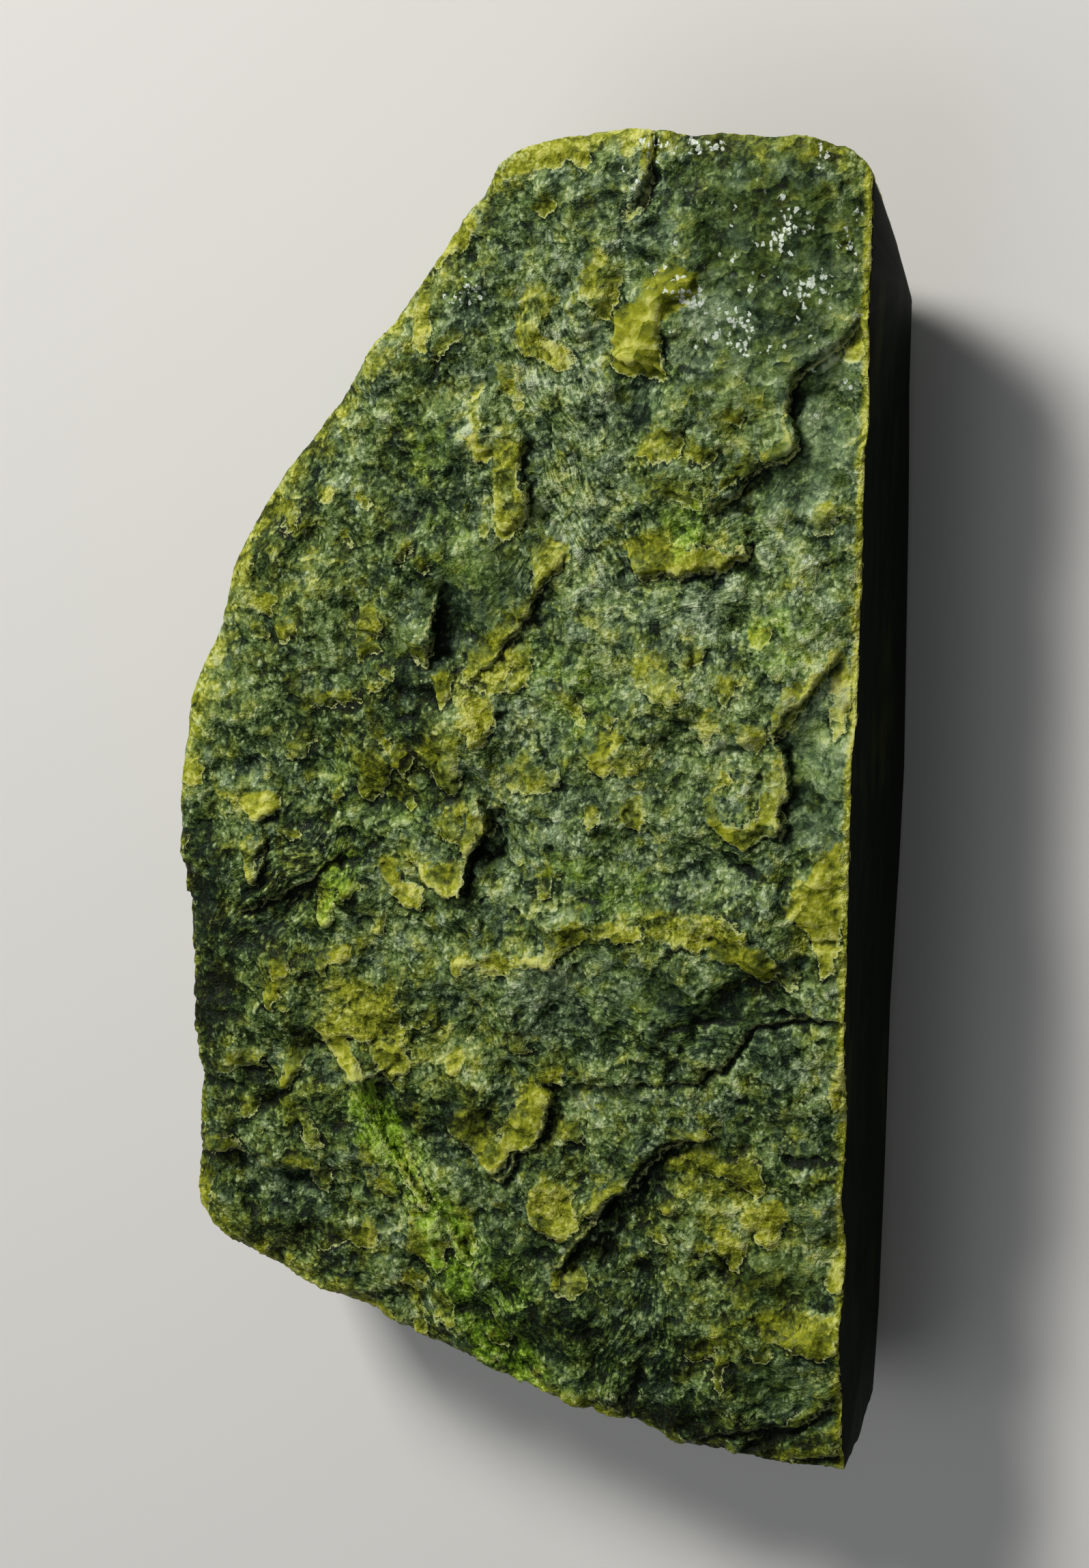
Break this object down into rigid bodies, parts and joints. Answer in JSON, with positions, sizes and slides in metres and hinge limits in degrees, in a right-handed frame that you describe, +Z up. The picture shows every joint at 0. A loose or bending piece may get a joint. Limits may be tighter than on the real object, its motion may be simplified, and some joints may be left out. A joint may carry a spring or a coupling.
{
  "type": "raw jade slab",
  "caption": "Raw nephrite jade slab with a rough flaky front, one sawn side, a flat sawn back and broken edges.",
  "frame": {"origin": "under the middle of the slab's overall length and width, on the surface that its sawn back rests on", "axes": "+Y along the length towards the sloping end, +X towards the sawn side, +Z up out of the rough front"},
  "size_m": [0.09, 0.17, 0.0344],
  "materials": {
    "jade": "rough natural break with sawn side and back"
  },
  "bodies": {
    "root": {"jade_slab": "jade"}
  },
  "joints": []
}
